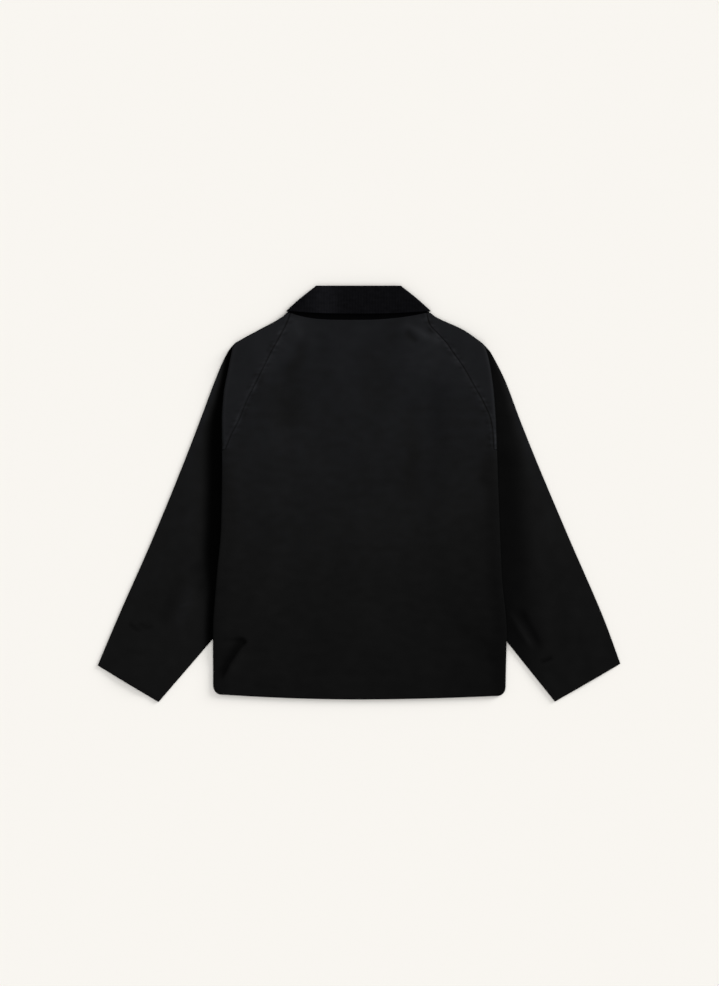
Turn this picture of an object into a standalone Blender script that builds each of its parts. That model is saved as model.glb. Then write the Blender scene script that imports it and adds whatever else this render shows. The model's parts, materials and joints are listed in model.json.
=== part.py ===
"""A short, boxy raglan coat with a ribbed collar, lying flat with its face down.

Metres, +Z up, +Y towards the collar, resting on Z = 0. Each sleeve is drawn down beside the body: above
the armpit it folds under at the body's side and comes out again below, so six layers lie there.
"""

import bisect
import math
from collections import namedtuple

import bmesh
import bpy
from mathutils import Vector

# driving sizes of the cloth and its layers
CLOTH = 0.0015  # wall of the cloth
SEAM_GAP = 0.0003  # between pieces sewn together
SIDE_SEAM_GAP = 0.0004  # where their edges turn to face each other
ARMPIT_GAP = 0.0014  # the side seam's last stitch, where its edges part for the sleeve
ARMPIT_REACH = 0.05  # the side seam widens to that gap over this length
MERGE = 1e-6
PITCH = 0.0022  # from one layer's middle to the next where they lie close
SLEEVE_LOFT = 0.0022  # how much further the sleeve's two layers part in its middle
LOFT_MARGIN = 0.020  # from the body's side to where they begin to part
LOFT_RAMP = 0.040
BODY_SPREAD = 0.0055  # from the front's middle to the back's, at the centre of the body
STAND_OFF = 0.0012  # how far the collar leaf's edge stands off the back

# the body
ARMPIT_Y = 0.075
HEM_Y = -0.3530
HEM_HALF_WIDTH = 0.25
HEM_RISE = {"left": 0.0094, "right": 0.0066}  # from the hem's middle to its corners
HEM_FADE = 0.15  # the rise dies out over this height
NECK_TOP_Y = 0.3080  # the neck seam at the sides of the neck
NECK_DROP = 0.0112  # from there to the neck seam's middle at the back
NECK_BEND = {"left": 3.2, "right": 1.7}  # and how late the seam turns up to them
NECK_DROP_START_Y = 0.20  # the sections bend down to the neck seam from here up
FRONT_NECK_DROP = 0.0720
NECK_HALF_WIDTH = 0.1178
LAP_HALF_WIDTH = 0.0150
LAP_RAISE = 0.0034  # the inner front's lap lies this far above the outer one's
LAP_RAMP = (-0.055, -0.020)  # and rises to it between these distances from the centre line
SIDE_RAMP = 0.060  # the fronts and back rise over the sleeves across this width
SIDE_MARGIN = 0.014  # and have risen this far inside the sleeve's hidden edge
COLLAR_RAMP = (0.170, 0.222)  # the fronts rise over the collar's points between these heights

# the collar
FOLD_Y = 0.3530  # middle of the turn at the collar's upper edge
FOLD_HALF_WIDTH = 0.0688
LEAF_EDGE_Y = 0.3050
LEAF_EDGE_RISE = 0.0062
LEAF_EDGE_BEND = 2.4  # how late the leaf's edge turns up to its ends
FOLD_SEAM_DROP = 0.0030  # from the middle of the fold's turn down to the seam with the stand
FRONT_FOLD_DROP = 0.0690  # the fold is lower at the centre front by this much
COLLAR_POINT = 0.0120  # the leaf's front points reach this much further
COLLAR_FRONT_X = 0.0200  # each end of the collar from the centre front
NECK_CLEARANCE = 0.0012  # between the neck seam's two edges, which are cut as short straight runs

# the press studs inside the lap
STUD_RADIUS = 0.0075
STUD_THICKNESS = 0.0012
STUD_SIDES = 16
STUD_COUNT = 5
STUD_LOWEST_Y = -0.310
STUD_SPACING = 0.115

FLOOR_LEVEL = CLOTH / 2  # middle of the lowest layer
UP = Vector((0, 0, 1))

# distances from the centre line at a height y, for the coat's left and right
Edge = namedtuple("Edge", "y left right")

BODY_SIDE = (
    Edge(-0.3530, 0.2370, 0.2400),
    Edge(-0.3390, 0.2490, 0.2520),
    Edge(-0.2400, 0.2492, 0.2535),
    Edge(-0.1450, 0.2430, 0.2455),
    Edge(-0.0530, 0.2352, 0.2415),
    Edge(0.0750, 0.2335, 0.2368),
    Edge(0.1250, 0.2338, 0.2350),
    Edge(0.1690, 0.2310, 0.2318),
    Edge(0.2100, 0.2235, 0.2265),
    Edge(0.2420, 0.2168, 0.2182),
    Edge(0.2550, 0.2132, 0.2138),
)
SLEEVE_OUTER = (
    Edge(-0.2920, 0.4455, 0.4485),
    Edge(-0.2172, 0.4138, 0.4210),
    Edge(-0.0804, 0.3535, 0.3620),
    Edge(0.0564, 0.2975, 0.3042),
    Edge(0.1249, 0.2712, 0.2768),
    Edge(0.1933, 0.2455, 0.2508),
    Edge(0.2275, 0.2312, 0.2325),
    Edge(0.2420, 0.2235, 0.2242),
    Edge(0.2532, 0.2150, 0.2152),
    Edge(0.2620, 0.2012, 0.2040),
    Edge(0.2788, 0.1708, 0.1795),
    Edge(0.3028, 0.1285, 0.1295),
    Edge(0.3080, 0.1235, 0.1235),
)
SLEEVE_INNER = (
    Edge(-0.3570, 0.3430, 0.3362),
    Edge(-0.2550, 0.2540, 0.2545),
    Edge(-0.2000, 0.2080, 0.2110),
    Edge(-0.1350, 0.1880, 0.1900),
    Edge(-0.0150, 0.1840, 0.1860),
    Edge(0.0750, 0.1860, 0.1860),
    Edge(0.1250, 0.1870, 0.1870),
    Edge(0.1550, 0.1890, 0.1890),
    Edge(0.1850, 0.1930, 0.1930),
    Edge(0.2050, 0.2000, 0.2000),
    Edge(0.2200, 0.2080, 0.2085),
    Edge(0.2532, 0.2140, 0.2140),
)
BACK_RAGLAN = (
    Edge(0.0750, 0.2280, 0.2312),
    Edge(0.1000, 0.2180, 0.2298),
    Edge(0.1250, 0.2050, 0.2260),
    Edge(0.1550, 0.1930, 0.2135),
    Edge(0.1850, 0.1780, 0.1965),
    Edge(0.2150, 0.1630, 0.1795),
    Edge(0.2420, 0.1495, 0.1605),
    Edge(0.2555, 0.1420, 0.1515),
    Edge(0.2710, 0.1335, 0.1375),
    Edge(0.2900, 0.1235, 0.1210),
    Edge(0.3080, 0.1165, 0.1165),
)
FRONT_RAGLAN = (
    Edge(0.0750, 0.2280, 0.2312),
    Edge(0.1250, 0.1960, 0.2020),
    Edge(0.1850, 0.1590, 0.1640),
    Edge(0.2420, 0.1210, 0.1240),
    Edge(0.2710, 0.1010, 0.1010),
)

# how the layers lie at the body's sides: the front's lift off the floor, and the back's height over it
Stack = namedtuple("Stack", "y lift spread")
SIDE_STACK = (
    Stack(-0.3000, 0.0000, 0.0050),
    Stack(-0.2480, 0.0047, 0.0040),
    Stack(0.0100, 0.0047, 0.0040),
    Stack(0.0550, 0.0068, 0.0036),
    Stack(0.0750, 4 * PITCH, PITCH),
    Stack(0.2380, 4 * PITCH, PITCH),
    Stack(0.2710, 0.0055, 0.0040),
    Stack(0.3080, PITCH, BODY_SPREAD),
)

# heights of the sections; those from the armpit up are shared by all that meets at the raglan seams
HEM_ROWS = (-0.353, -0.339, -0.300, -0.250, -0.200, -0.130, -0.060, 0.005, 0.055)
TUCK_ROWS = (0.075, 0.105, 0.145, 0.180, 0.205, 0.220, 0.229, 0.238)
SHOULDER_ROWS = (0.2535, 0.271, 0.290, 0.308)
FRONT_TOP_ROWS = (0.2535, 0.2675)

# near the shoulder point the tuck opens: its layers turn through less than half a turn, and the space
# between the last turn and the sleeve's outer seam closes up
TuckEnd = namedtuple("TuckEnd", "turned spare")
TUCK_ENDS = {0.229: TuckEnd(135, 0.0086), 0.238: TuckEnd(90, 0.0052)}

# the sleeve's sections below the armpit, by the heights of their outer and inner ends
Slant = namedtuple("Slant", "outer_y inner_y")
SLEEVE_ROWS = (
    Slant(0.075, 0.075),
    Slant(0.038, 0.030),
    Slant(-0.020, -0.045),
    Slant(-0.085, -0.125),
    Slant(-0.145, -0.202),
    Slant(-0.196, -0.262),
    Slant(-0.244, -0.312),
    Slant(-0.292, -0.357),
)

# points across a section
FLUSH_END = 0.0030
CAP_STEPS = 3
TURN_STEPS = 3
SLEEVE_STEPS = 4
BACK_STEPS = 14
FRONT_STEPS = 8
CAP_END = 0.7  # the share of a shoulder section that its first points span
NECK_STEPS = 5
NECK_CROWDING = 0.8  # the neck's points lie closer together towards the shoulders
COLLAR_FRONT_STEPS = 4
LEAF_STEPS = 4
STAND_STEPS = 2
ROLL_SHARES = (0.0, 0.5, 0.89, 1.0)  # a seam's quarter turn ends upright, so that the two edges face
ROLL_STEPS = len(ROLL_SHARES) - 1
TURN_SHARES = tuple(i / TURN_STEPS for i in range(TURN_STEPS + 1))


def smooth(t):
    t = min(max(t, 0.0), 1.0)
    return t * t * (3 - 2 * t)


def lerp(a, b, t):
    return a + (b - a) * t


def read(table, column, y):
    """A column of a table at the height y, on a smooth curve that never overshoots its rows."""
    heights = [row.y for row in table]
    values = [getattr(row, column) for row in table]
    if y <= heights[0]:
        return values[0]
    if y >= heights[-1]:
        return values[-1]
    i = bisect.bisect_right(heights, y) - 1
    slopes = [(b - a) / (q - p) for a, b, p, q in zip(values, values[1:], heights, heights[1:])]

    def tangent(k):
        if k == 0 or k == len(slopes):
            return slopes[min(k, len(slopes) - 1)]
        before, after = slopes[k - 1], slopes[k]
        return 0.0 if before * after <= 0 else 2 * before * after / (before + after)

    step = heights[i + 1] - heights[i]
    t = (y - heights[i]) / step
    eased = smooth(t)
    start = values[i] * (1 - eased) + step * tangent(i) * t * (1 - t) ** 2
    return start + values[i + 1] * eased - step * tangent(i + 1) * t * t * (1 - t)


def side_name(x):
    return "left" if x < 0 else "right"


# ---- heights of the body's two layers


def over_sleeve(x, y):
    """0 in the middle of the body, 1 where the sleeve lies beneath it."""
    inner = read(SLEEVE_INNER, side_name(x), y) - SIDE_MARGIN
    return smooth((abs(x) - inner + SIDE_RAMP) / SIDE_RAMP)


def front_level(x, y):
    middle = PITCH * smooth((y - COLLAR_RAMP[0]) / (COLLAR_RAMP[1] - COLLAR_RAMP[0]))
    return FLOOR_LEVEL + lerp(middle, read(SIDE_STACK, "lift", y), over_sleeve(x, y))


def back_level(x, y):
    spread = lerp(BODY_SPREAD, read(SIDE_STACK, "spread", y), over_sleeve(x, y) ** 3)
    return front_level(x, y) + spread


def neck_dip(across):
    """How far the back neck seam lies below its ends, as a share, from -1 at the left to 1 at the right."""
    return 1 - abs(across) ** NECK_BEND[side_name(across)]


def arc(centre, outward, radius, start, end, shares):
    """Points on an upright arc, by degrees from straight up towards outward."""
    points = []
    for share in shares:
        angle = math.radians(lerp(start, end, share))
        points.append(centre + outward * (radius * math.sin(angle)) + UP * (radius * math.cos(angle)))
    return points


def run(start, end, steps, level):
    """Points between two plan points, each at level(x, y)."""
    points = []
    for i in range(steps + 1):
        x = lerp(start[0], end[0], i / steps)
        y = lerp(start[1], end[1], i / steps)
        points.append(Vector((x, y, level(x, y))))
    return points


# ---- meshes


def piece(name, patches, material, group):
    """One sewn piece: its sheet as grids of points that share edges, thickened to the cloth's wall."""
    bm = bmesh.new()
    for rows in patches:
        grid = [[bm.verts.new(point) for point in row] for row in rows]
        for low, high in zip(grid, grid[1:]):
            for i in range(len(low) - 1):
                bm.faces.new((low[i], low[i + 1], high[i + 1], high[i]))
    bmesh.ops.remove_doubles(bm, verts=bm.verts, dist=MERGE)
    bmesh.ops.recalc_face_normals(bm, faces=bm.faces)
    mesh = bpy.data.meshes.new(name)
    bm.to_mesh(mesh)
    bm.free()
    mesh.shade_smooth()
    mesh.materials.append(material)
    obj = bpy.data.objects.new(name, mesh)
    group.objects.link(obj)
    wall = obj.modifiers.new("wall", "SOLIDIFY")
    wall.thickness = CLOTH
    wall.offset = 0
    return obj


def cloth_material(name, colour, roughness):
    material = bpy.data.materials.new(name)
    material.use_nodes = True
    shader = material.node_tree.nodes["Principled BSDF"]
    shader.inputs["Base Color"].default_value = (*colour, 1)
    shader.inputs["Roughness"].default_value = roughness
    return material


# ---- the body's pieces


def hem_height(x, y):
    """The lowest sections follow the hem, whose corners are a little higher than its middle."""
    rise = HEM_RISE[side_name(x)] * (x / HEM_HALF_WIDTH) ** 2
    return y + rise * (1 - smooth((y - HEM_Y) / HEM_FADE))


def seam_turn(side, x, y):
    """Where back and front turn to meet at an edge: the turn's middle in plan and its radius."""
    gap = lerp(SIDE_SEAM_GAP, ARMPIT_GAP, smooth(1 - abs(y - HEM_ROWS[-1]) / ARMPIT_REACH))
    near = x - side * CLOTH
    radius = (back_level(near, y) - front_level(near, y) - gap) / 2
    middle = x - side * (CLOTH / 2 + radius)
    radius = (back_level(middle, y) - front_level(middle, y) - gap) / 2
    return Vector((middle, y, 0)), radius


def rolled_edge(side, x, y, is_back):
    """The quarter turn at a side seam, from the panel to the gap halfway to the other panel."""
    centre, radius = seam_turn(side, x, y)
    centre.z = back_level(centre.x, y) - radius if is_back else front_level(centre.x, y) + radius
    return arc(centre, Vector((side, 0, 0)), radius, 0 if is_back else 180, 90, ROLL_SHARES)


def flush_shares(steps, width, both_ends):
    """Where a section's points lie that ends flush with a seam: as close at its ends as where it rolls."""
    end = [FLUSH_END / width * (1 - i / ROLL_STEPS) for i in range(ROLL_STEPS)]
    start = [FLUSH_END / width - share for share in end] if both_ends else []
    first = FLUSH_END / width if both_ends else 0.0
    middle = [lerp(first, 1 - FLUSH_END / width, i / steps) for i in range(steps)]
    return start + middle + [1 - share for share in end] + [1.0]


def back_rows():
    rows = []
    for y in HEM_ROWS:
        edges = {}
        for side in (-1, 1):
            x = side * read(BODY_SIDE, side_name(side), y)
            edges[side] = rolled_edge(side, x, hem_height(x, y), True)
        left, right = edges[-1][0], edges[1][0]
        row = list(reversed(edges[-1]))
        for i in range(1, BACK_STEPS):
            x = lerp(left.x, right.x, i / BACK_STEPS)
            at = hem_height(x, y)
            row.append(Vector((x, at, back_level(x, at))))
        rows.append(row + edges[1])
    for y in TUCK_ROWS + SHOULDER_ROWS:
        left = -read(BACK_RAGLAN, "left", y) + SEAM_GAP / 2
        right = read(BACK_RAGLAN, "right", y) - SEAM_GAP / 2
        drop = NECK_DROP * smooth((y - NECK_DROP_START_Y) / (NECK_TOP_Y - NECK_DROP_START_Y))
        row = []
        for share in flush_shares(BACK_STEPS, right - left, True):
            x = lerp(left, right, share)
            at = y - drop * neck_dip(2 * share - 1)
            row.append(Vector((x, at, back_level(x, at))))
        rows.append(row)
    return rows


def neckline_x(y):
    """Half the width of the front neckline, a quarter of an ellipse, at the height y."""
    share = min(max((NECK_TOP_Y - y) / FRONT_NECK_DROP, 0.0), 1.0)
    return NECK_HALF_WIDTH * math.sqrt(1 - share * share)


def front_rows(side, inner):
    """A front from its lap to its side seam; inner is the one whose lap lies on the other's."""

    def level(x, y):
        raised = smooth((side * -x - LAP_RAMP[0]) / (LAP_RAMP[1] - LAP_RAMP[0])) if inner else 0.0
        return front_level(x, y) + LAP_RAISE * raised

    neckline_y = NECK_TOP_Y - FRONT_NECK_DROP - NECK_CLEARANCE
    upper = [y for y in TUCK_ROWS if y < neckline_y] + [neckline_y]
    upper += [y for y in TUCK_ROWS + FRONT_TOP_ROWS if y > neckline_y]
    rows = []
    for y in HEM_ROWS:
        x = side * read(BODY_SIDE, side_name(side), y)
        edge = rolled_edge(side, x, hem_height(x, y), False)
        row = []
        for i in range(FRONT_STEPS):
            x = lerp(-side * LAP_HALF_WIDTH, edge[0].x, i / FRONT_STEPS)
            at = hem_height(x, y)
            row.append(Vector((x, at, level(x, at))))
        rows.append(row + edge)
    for y in upper:
        start = -side * LAP_HALF_WIDTH if y <= neckline_y else side * (neckline_x(y) + NECK_CLEARANCE)
        end = side * (read(FRONT_RAGLAN, side_name(side), y) - SEAM_GAP / 2)
        row = []
        for share in flush_shares(FRONT_STEPS, abs(end - start), False):
            x = lerp(start, end, share)
            row.append(Vector((x, y, level(x, y))))
        rows.append(row)
    return rows


# ---- the sleeves


def sleeve_level(side, x, y, outer_x):
    """Middle of the sleeve's upper layer: close under the body, and parted where it shows."""
    name = side_name(side)
    start = max(read(BODY_SIDE, name, y), read(SLEEVE_INNER, name, y)) + LOFT_MARGIN
    rise = smooth((abs(x) - start) / LOFT_RAMP) * smooth((outer_x - abs(x)) / LOFT_RAMP)
    return FLOOR_LEVEL + PITCH + SLEEVE_LOFT * rise


def sleeve_end(side, slant):
    """Plan points of a section's inner and outer ends."""
    name = side_name(side)
    outer = Vector((side * read(SLEEVE_OUTER, name, slant.outer_y), slant.outer_y, 0))
    inner = Vector((side * read(SLEEVE_INNER, name, slant.inner_y), slant.inner_y, 0))
    return inner, outer


def sleeve_half(side, is_back):
    """The grids of one half of a raglan sleeve. is_back is the half that faces up."""
    name = side_name(side)
    out = Vector((side, 0, 0))
    seam_radius = (PITCH - SIDE_SEAM_GAP) / 2
    turn_radius = (1.5 * PITCH, 0.5 * PITCH) if is_back else (0.5 * PITCH, 1.5 * PITCH)
    cap_level = back_level if is_back else front_level
    roll_start = 0 if is_back else 180

    def outer_roll(edge, across, lower):
        centre = edge - across * (CLOTH / 2 + seam_radius)
        centre.z = lower + seam_radius + (SIDE_SEAM_GAP if is_back else 0)
        return arc(centre, across, seam_radius, roll_start, 90, ROLL_SHARES)

    def flat_run(start, end):
        if is_back:
            outer_x = abs(end[0])
            return run(start, end, SLEEVE_STEPS, lambda x, y: sleeve_level(side, x, y, outer_x))
        return run(start, end, SLEEVE_STEPS, lambda x, y: FLOOR_LEVEL)

    def seam_x(y):
        if is_back:
            return side * (read(BACK_RAGLAN, name, y) + SEAM_GAP / 2)
        if y > FRONT_RAGLAN[-1].y:
            return side * neckline_x(y)
        return side * (read(FRONT_RAGLAN, name, y) + SEAM_GAP / 2)

    upper = []
    for y in reversed(SHOULDER_ROWS):
        centre, radius = seam_turn(side, side * read(SLEEVE_OUTER, name, y), y)
        centre.z = cap_level(centre.x, y) + (-radius if is_back else radius)
        row = []
        rest = 2 * TURN_STEPS + SLEEVE_STEPS + 2
        shares = [CAP_END * i / CAP_STEPS for i in range(CAP_STEPS)]
        shares += [lerp(CAP_END, 1, i / rest) for i in range(rest)]
        for share in shares:
            x = lerp(seam_x(y), centre.x, share)
            row.append(Vector((x, y, cap_level(x, y))))
        upper.append(row + arc(centre, out, radius, roll_start, 90, ROLL_SHARES))
    for y in reversed(TUCK_ROWS):
        inner, outer = sleeve_end(side, Slant(y, y))
        roll = outer_roll(outer, out, FLOOR_LEVEL)
        side_turn = Vector((side * (read(BODY_SIDE, name, y) - CLOTH / 2 - 1.5 * PITCH), y, 0))
        side_turn.z = (back_level(side_turn.x, y) + front_level(side_turn.x, y)) / 2 - PITCH
        inner_turn = inner + out * (CLOTH / 2 + 1.5 * PITCH)
        inner_turn.z = FLOOR_LEVEL + 1.5 * PITCH
        turned = 180
        if y in TUCK_ENDS:
            turned = TUCK_ENDS[y].turned
            bend = math.radians(turned)
            straight = (side_turn.z - inner_turn.z + 2 * PITCH * math.cos(bend)) / math.sin(bend)
            inner_turn.x = roll[0].x - side * TUCK_ENDS[y].spare
            side_turn.x = inner_turn.x - side * (2 * PITCH * math.sin(bend) + straight * math.cos(bend))
        first = arc(side_turn, out, turn_radius[0], 0, turned, TURN_SHARES)
        second = arc(inner_turn, -out, turn_radius[1], 180 - turned, 180, TURN_SHARES)
        row = run((seam_x(y), y), side_turn, CAP_STEPS, cap_level)[:-1]
        row += first + [first[-1].lerp(second[0], 0.5)] + second
        row += flat_run(inner_turn, roll[0])[1:-1]
        upper.append(row + roll)
    lower = []
    for slant in SLEEVE_ROWS:
        inner, outer = sleeve_end(side, slant)
        across = (outer - inner).normalized()
        roll = outer_roll(outer, across, FLOOR_LEVEL)
        start = inner + across * (CLOTH / 2 + seam_radius)
        start.z = FLOOR_LEVEL + seam_radius + (SIDE_SEAM_GAP if is_back else 0)
        if slant is SLEEVE_ROWS[0]:
            corner = upper[-1][CAP_STEPS + 2 * TURN_STEPS + 2]
            inner_roll = [corner.copy() for _ in range(ROLL_STEPS + 1)]
            lower.append(inner_roll + upper[-1][CAP_STEPS + 2 * TURN_STEPS + 3 :])
            continue
        inner_roll = arc(start, -across, seam_radius, roll_start, 90, ROLL_SHARES)[::-1]
        lower.append(inner_roll + flat_run(inner_roll[-1], roll[0])[1:-1] + roll)
    return upper, lower


# ---- the collar


def collar_columns():
    """Round the neck from one centre front to the other: the neck seam, the fold and the leaf's edge in
    plan, the layer's middle, and which way is out."""
    Column = namedtuple("Column", "neck fold edge out")
    columns = []
    for side in (-1, 1):
        half = []
        for i in range(NECK_STEPS):
            share = (i / NECK_STEPS) ** NECK_CROWDING
            x = side * NECK_HALF_WIDTH * share
            neck = Vector((x, NECK_TOP_Y + NECK_CLEARANCE - NECK_DROP * neck_dip(side * share), 0))
            fold = Vector((side * FOLD_HALF_WIDTH * share, FOLD_Y, 0))
            edge = Vector((x, LEAF_EDGE_Y + LEAF_EDGE_RISE * share ** LEAF_EDGE_BEND, 0))
            half.append(Column(neck, fold, edge, UP))
        for i in range(TURN_STEPS + 1):
            angle = math.radians(180 * i / TURN_STEPS)
            out = Vector((side * math.sin(angle), 0, math.cos(angle)))
            neck = Vector((side * NECK_HALF_WIDTH, NECK_TOP_Y + NECK_CLEARANCE, 0))
            fold = Vector((side * FOLD_HALF_WIDTH, FOLD_Y, 0))
            edge = Vector((side * NECK_HALF_WIDTH, LEAF_EDGE_Y + LEAF_EDGE_RISE, 0))
            half.append(Column(neck, fold, edge, out))
        for i in range(1, COLLAR_FRONT_STEPS + 1):
            share = i / COLLAR_FRONT_STEPS
            angle = math.radians(90 * share)
            reach = COLLAR_FRONT_X / NECK_HALF_WIDTH
            x = side * NECK_HALF_WIDTH * lerp(1, reach, 1 - math.cos(angle))
            depth = math.sqrt(max(0.0, 1 - (x / NECK_HALF_WIDTH) ** 2))
            neck_y = NECK_TOP_Y + NECK_CLEARANCE - (FRONT_NECK_DROP - 2 * NECK_CLEARANCE) * depth
            neck = Vector((x, neck_y, 0))
            fold_x = side * lerp(FOLD_HALF_WIDTH, COLLAR_FRONT_X, share)
            fold = Vector((fold_x, FOLD_Y - FRONT_FOLD_DROP * smooth(share), 0))
            below = lerp(0.0, COLLAR_POINT, smooth(share))
            edge_y = LEAF_EDGE_Y + LEAF_EDGE_RISE - FRONT_FOLD_DROP * smooth(share) - below
            half.append(Column(neck, fold, Vector((x, edge_y, 0)), -UP))
        columns.append(half)
    left, right = columns
    return list(reversed(left)) + right[1:]


def collar_rows(is_leaf):
    low = FLOOR_LEVEL + PITCH
    high = low + BODY_SPREAD
    radius = (high - low) / 2
    seam_y = -FOLD_SEAM_DROP
    rows = []
    for k in range(TURN_STEPS + 1 + LEAF_STEPS if is_leaf else STAND_STEPS + 1):
        row = []
        for column in collar_columns():
            ring = Vector((0, 0, (low + high) / 2)) + column.out * radius
            if not is_leaf:
                top = column.fold + Vector((0, seam_y - 2 * SEAM_GAP, 0))
                row.append(column.neck.lerp(top, k / STAND_STEPS) + ring)
            elif k == 0:
                row.append(column.fold + Vector((0, seam_y, 0)) + ring)
            elif k <= TURN_STEPS + 1:
                angle = math.radians(180 * (k - 1) / TURN_STEPS)
                turn = Vector((0, math.sin(angle), 0)) * PITCH / 2
                lift = column.out * (1 - math.cos(angle)) * PITCH / 2
                row.append(column.fold + turn + ring + lift)
            else:
                share = (k - TURN_STEPS - 1) / (LEAF_STEPS - 1)
                off = PITCH + STAND_OFF * share * share * max(0.0, column.out.z)
                row.append(column.fold.lerp(column.edge, share) + ring + column.out * off)
        rows.append(row)
    return rows


def press_stud(name, y, material, group):
    bm = bmesh.new()
    bmesh.ops.create_cone(
        bm,
        cap_ends=True,
        segments=STUD_SIDES,
        radius1=STUD_RADIUS,
        radius2=STUD_RADIUS,
        depth=STUD_THICKNESS,
    )
    mesh = bpy.data.meshes.new(name)
    bm.to_mesh(mesh)
    bm.free()
    mesh.materials.append(material)
    obj = bpy.data.objects.new(name, mesh)
    level = front_level(0, y) + CLOTH / 2 + SEAM_GAP + STUD_THICKNESS / 2
    obj.location = (0, y, level)
    group.objects.link(obj)


def main():
    for obj in list(bpy.data.objects):
        bpy.data.objects.remove(obj, do_unlink=True)
    group = bpy.data.collections.new("reversible_coat")
    bpy.context.scene.collection.children.link(group)
    shell = cloth_material("coat_cloth", (0.0080, 0.0080, 0.0086), 0.80)
    ribbed = cloth_material("collar_cloth", (0.0030, 0.0030, 0.0036), 0.95)
    metal = cloth_material("stud_metal", (0.020, 0.020, 0.021), 0.40)
    metal.node_tree.nodes["Principled BSDF"].inputs["Metallic"].default_value = 1.0

    piece("back", [back_rows()], shell, group)
    piece("front_left", [front_rows(-1, True)], shell, group)
    piece("front_right", [front_rows(1, False)], shell, group)
    for side in (-1, 1):
        name = side_name(side)
        piece(f"sleeve_back_{name}", sleeve_half(side, True), shell, group)
        piece(f"sleeve_front_{name}", sleeve_half(side, False), shell, group)
    piece("collar_fall", [collar_rows(True)], ribbed, group)
    piece("collar_stand", [collar_rows(False)], ribbed, group)
    for i in range(STUD_COUNT):
        press_stud(f"press_stud_{i + 1}", STUD_LOWEST_Y + i * STUD_SPACING, metal, group)


main()
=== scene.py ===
import bpy
import json
import math
import numpy as np
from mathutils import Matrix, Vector, noise

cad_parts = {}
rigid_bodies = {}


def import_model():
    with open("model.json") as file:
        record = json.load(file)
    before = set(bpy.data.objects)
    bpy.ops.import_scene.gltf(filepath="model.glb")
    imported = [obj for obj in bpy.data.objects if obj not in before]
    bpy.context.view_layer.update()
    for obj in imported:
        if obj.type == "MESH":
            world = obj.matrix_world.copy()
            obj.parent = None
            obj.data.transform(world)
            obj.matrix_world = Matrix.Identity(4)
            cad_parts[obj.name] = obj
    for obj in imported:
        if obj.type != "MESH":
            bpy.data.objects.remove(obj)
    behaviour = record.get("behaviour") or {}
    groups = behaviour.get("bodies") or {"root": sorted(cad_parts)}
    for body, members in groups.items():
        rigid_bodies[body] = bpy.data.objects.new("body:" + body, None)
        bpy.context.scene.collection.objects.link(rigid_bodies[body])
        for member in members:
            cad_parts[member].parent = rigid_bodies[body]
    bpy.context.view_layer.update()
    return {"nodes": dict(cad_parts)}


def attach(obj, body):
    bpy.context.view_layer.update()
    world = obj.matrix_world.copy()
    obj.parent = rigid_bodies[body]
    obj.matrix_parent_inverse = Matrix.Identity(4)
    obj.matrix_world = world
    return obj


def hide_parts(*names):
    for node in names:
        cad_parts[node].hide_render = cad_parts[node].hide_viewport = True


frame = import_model()
print("frame loaded")

# sizes shared by the pieces, in metres
cloth = {
    "wall": 0.0015,
    "seamGap": 0.0003,
    "sideSeamGap": 0.0004,
    "armpitGap": 0.0014,
    "armpitGapY": 0.055,
    "armpitReach": 0.05,
    "pitch": 0.0022,  # from one layer's middle to the next
    "loft": 0.0022,
    "bodySpread": 0.0055,
    "sideRamp": 0.060,
    "sideMargin": 0.014,
    "collarRamp": (0.170, 0.052),
    "armpitY": 0.075,
    "seamOpens": (0.0715, 0.0035),  # where the side seam ends and the raglan seam begins
    "hemY": -0.353,
    "hemRise": (0.0094, 0.0066),  # left and right
    "hemHalfWidth": 0.25,
    "hemFade": 0.15,
    "cornerWidth": 0.012,
    "cornerHeight": 0.014,
    "neckTopY": 0.308,
    "neckDrop": 0.0122,
    "neckDropStartY": 0.20,
    "neckBend": (4.0, 2.2),
    "frontNeckDrop": 0.072,
    "neckHalfWidth": 0.1178,
}
floorLevel = cloth["wall"] / 2
pitch = cloth["pitch"]


def smooth(t):
    t = np.clip(t, 0.0, 1.0)
    return t * t * (3 - 2 * t)


def lerp(a, b, t):
    return a + (b - a) * t


def rise(value, start, length):
    return smooth((value - start) / length)


def fall(value, start, length):
    return smooth((start - value) / length)


def curve(points):  # a smooth line through (y, value) points that never overshoots them
    ys = np.array([p[0] for p in points])
    values = np.array([p[1] for p in points])
    slopes = np.diff(values) / np.diff(ys)
    tangents = np.concatenate(([slopes[0]], np.zeros(len(slopes) - 1), [slopes[-1]]))
    for k in range(1, len(slopes)):
        if slopes[k - 1] * slopes[k] > 0:
            tangents[k] = 2 * slopes[k - 1] * slopes[k] / (slopes[k - 1] + slopes[k])

    def at(y):
        y = np.clip(np.asarray(y, dtype=float), ys[0], ys[-1])
        i = np.clip(np.searchsorted(ys, y, side="right") - 1, 0, len(slopes) - 1)
        step = ys[i + 1] - ys[i]
        t = (y - ys[i]) / step
        eased = smooth(t)
        start = values[i] * (1 - eased) + step * tangents[i] * t * (1 - t) ** 2
        return start + values[i + 1] * eased - step * tangents[i + 1] * t * t * (1 - t)

    return at


# rows of (y, left, right) distances from the centre line, as one function of a side and a height
def bothSides(rows):
    left = curve([(y, a) for y, a, b in rows])
    right = curve([(y, b) for y, a, b in rows])

    def at(x, y):
        return np.where(np.asarray(x) < 0, left(y), right(y))

    return at


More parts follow.
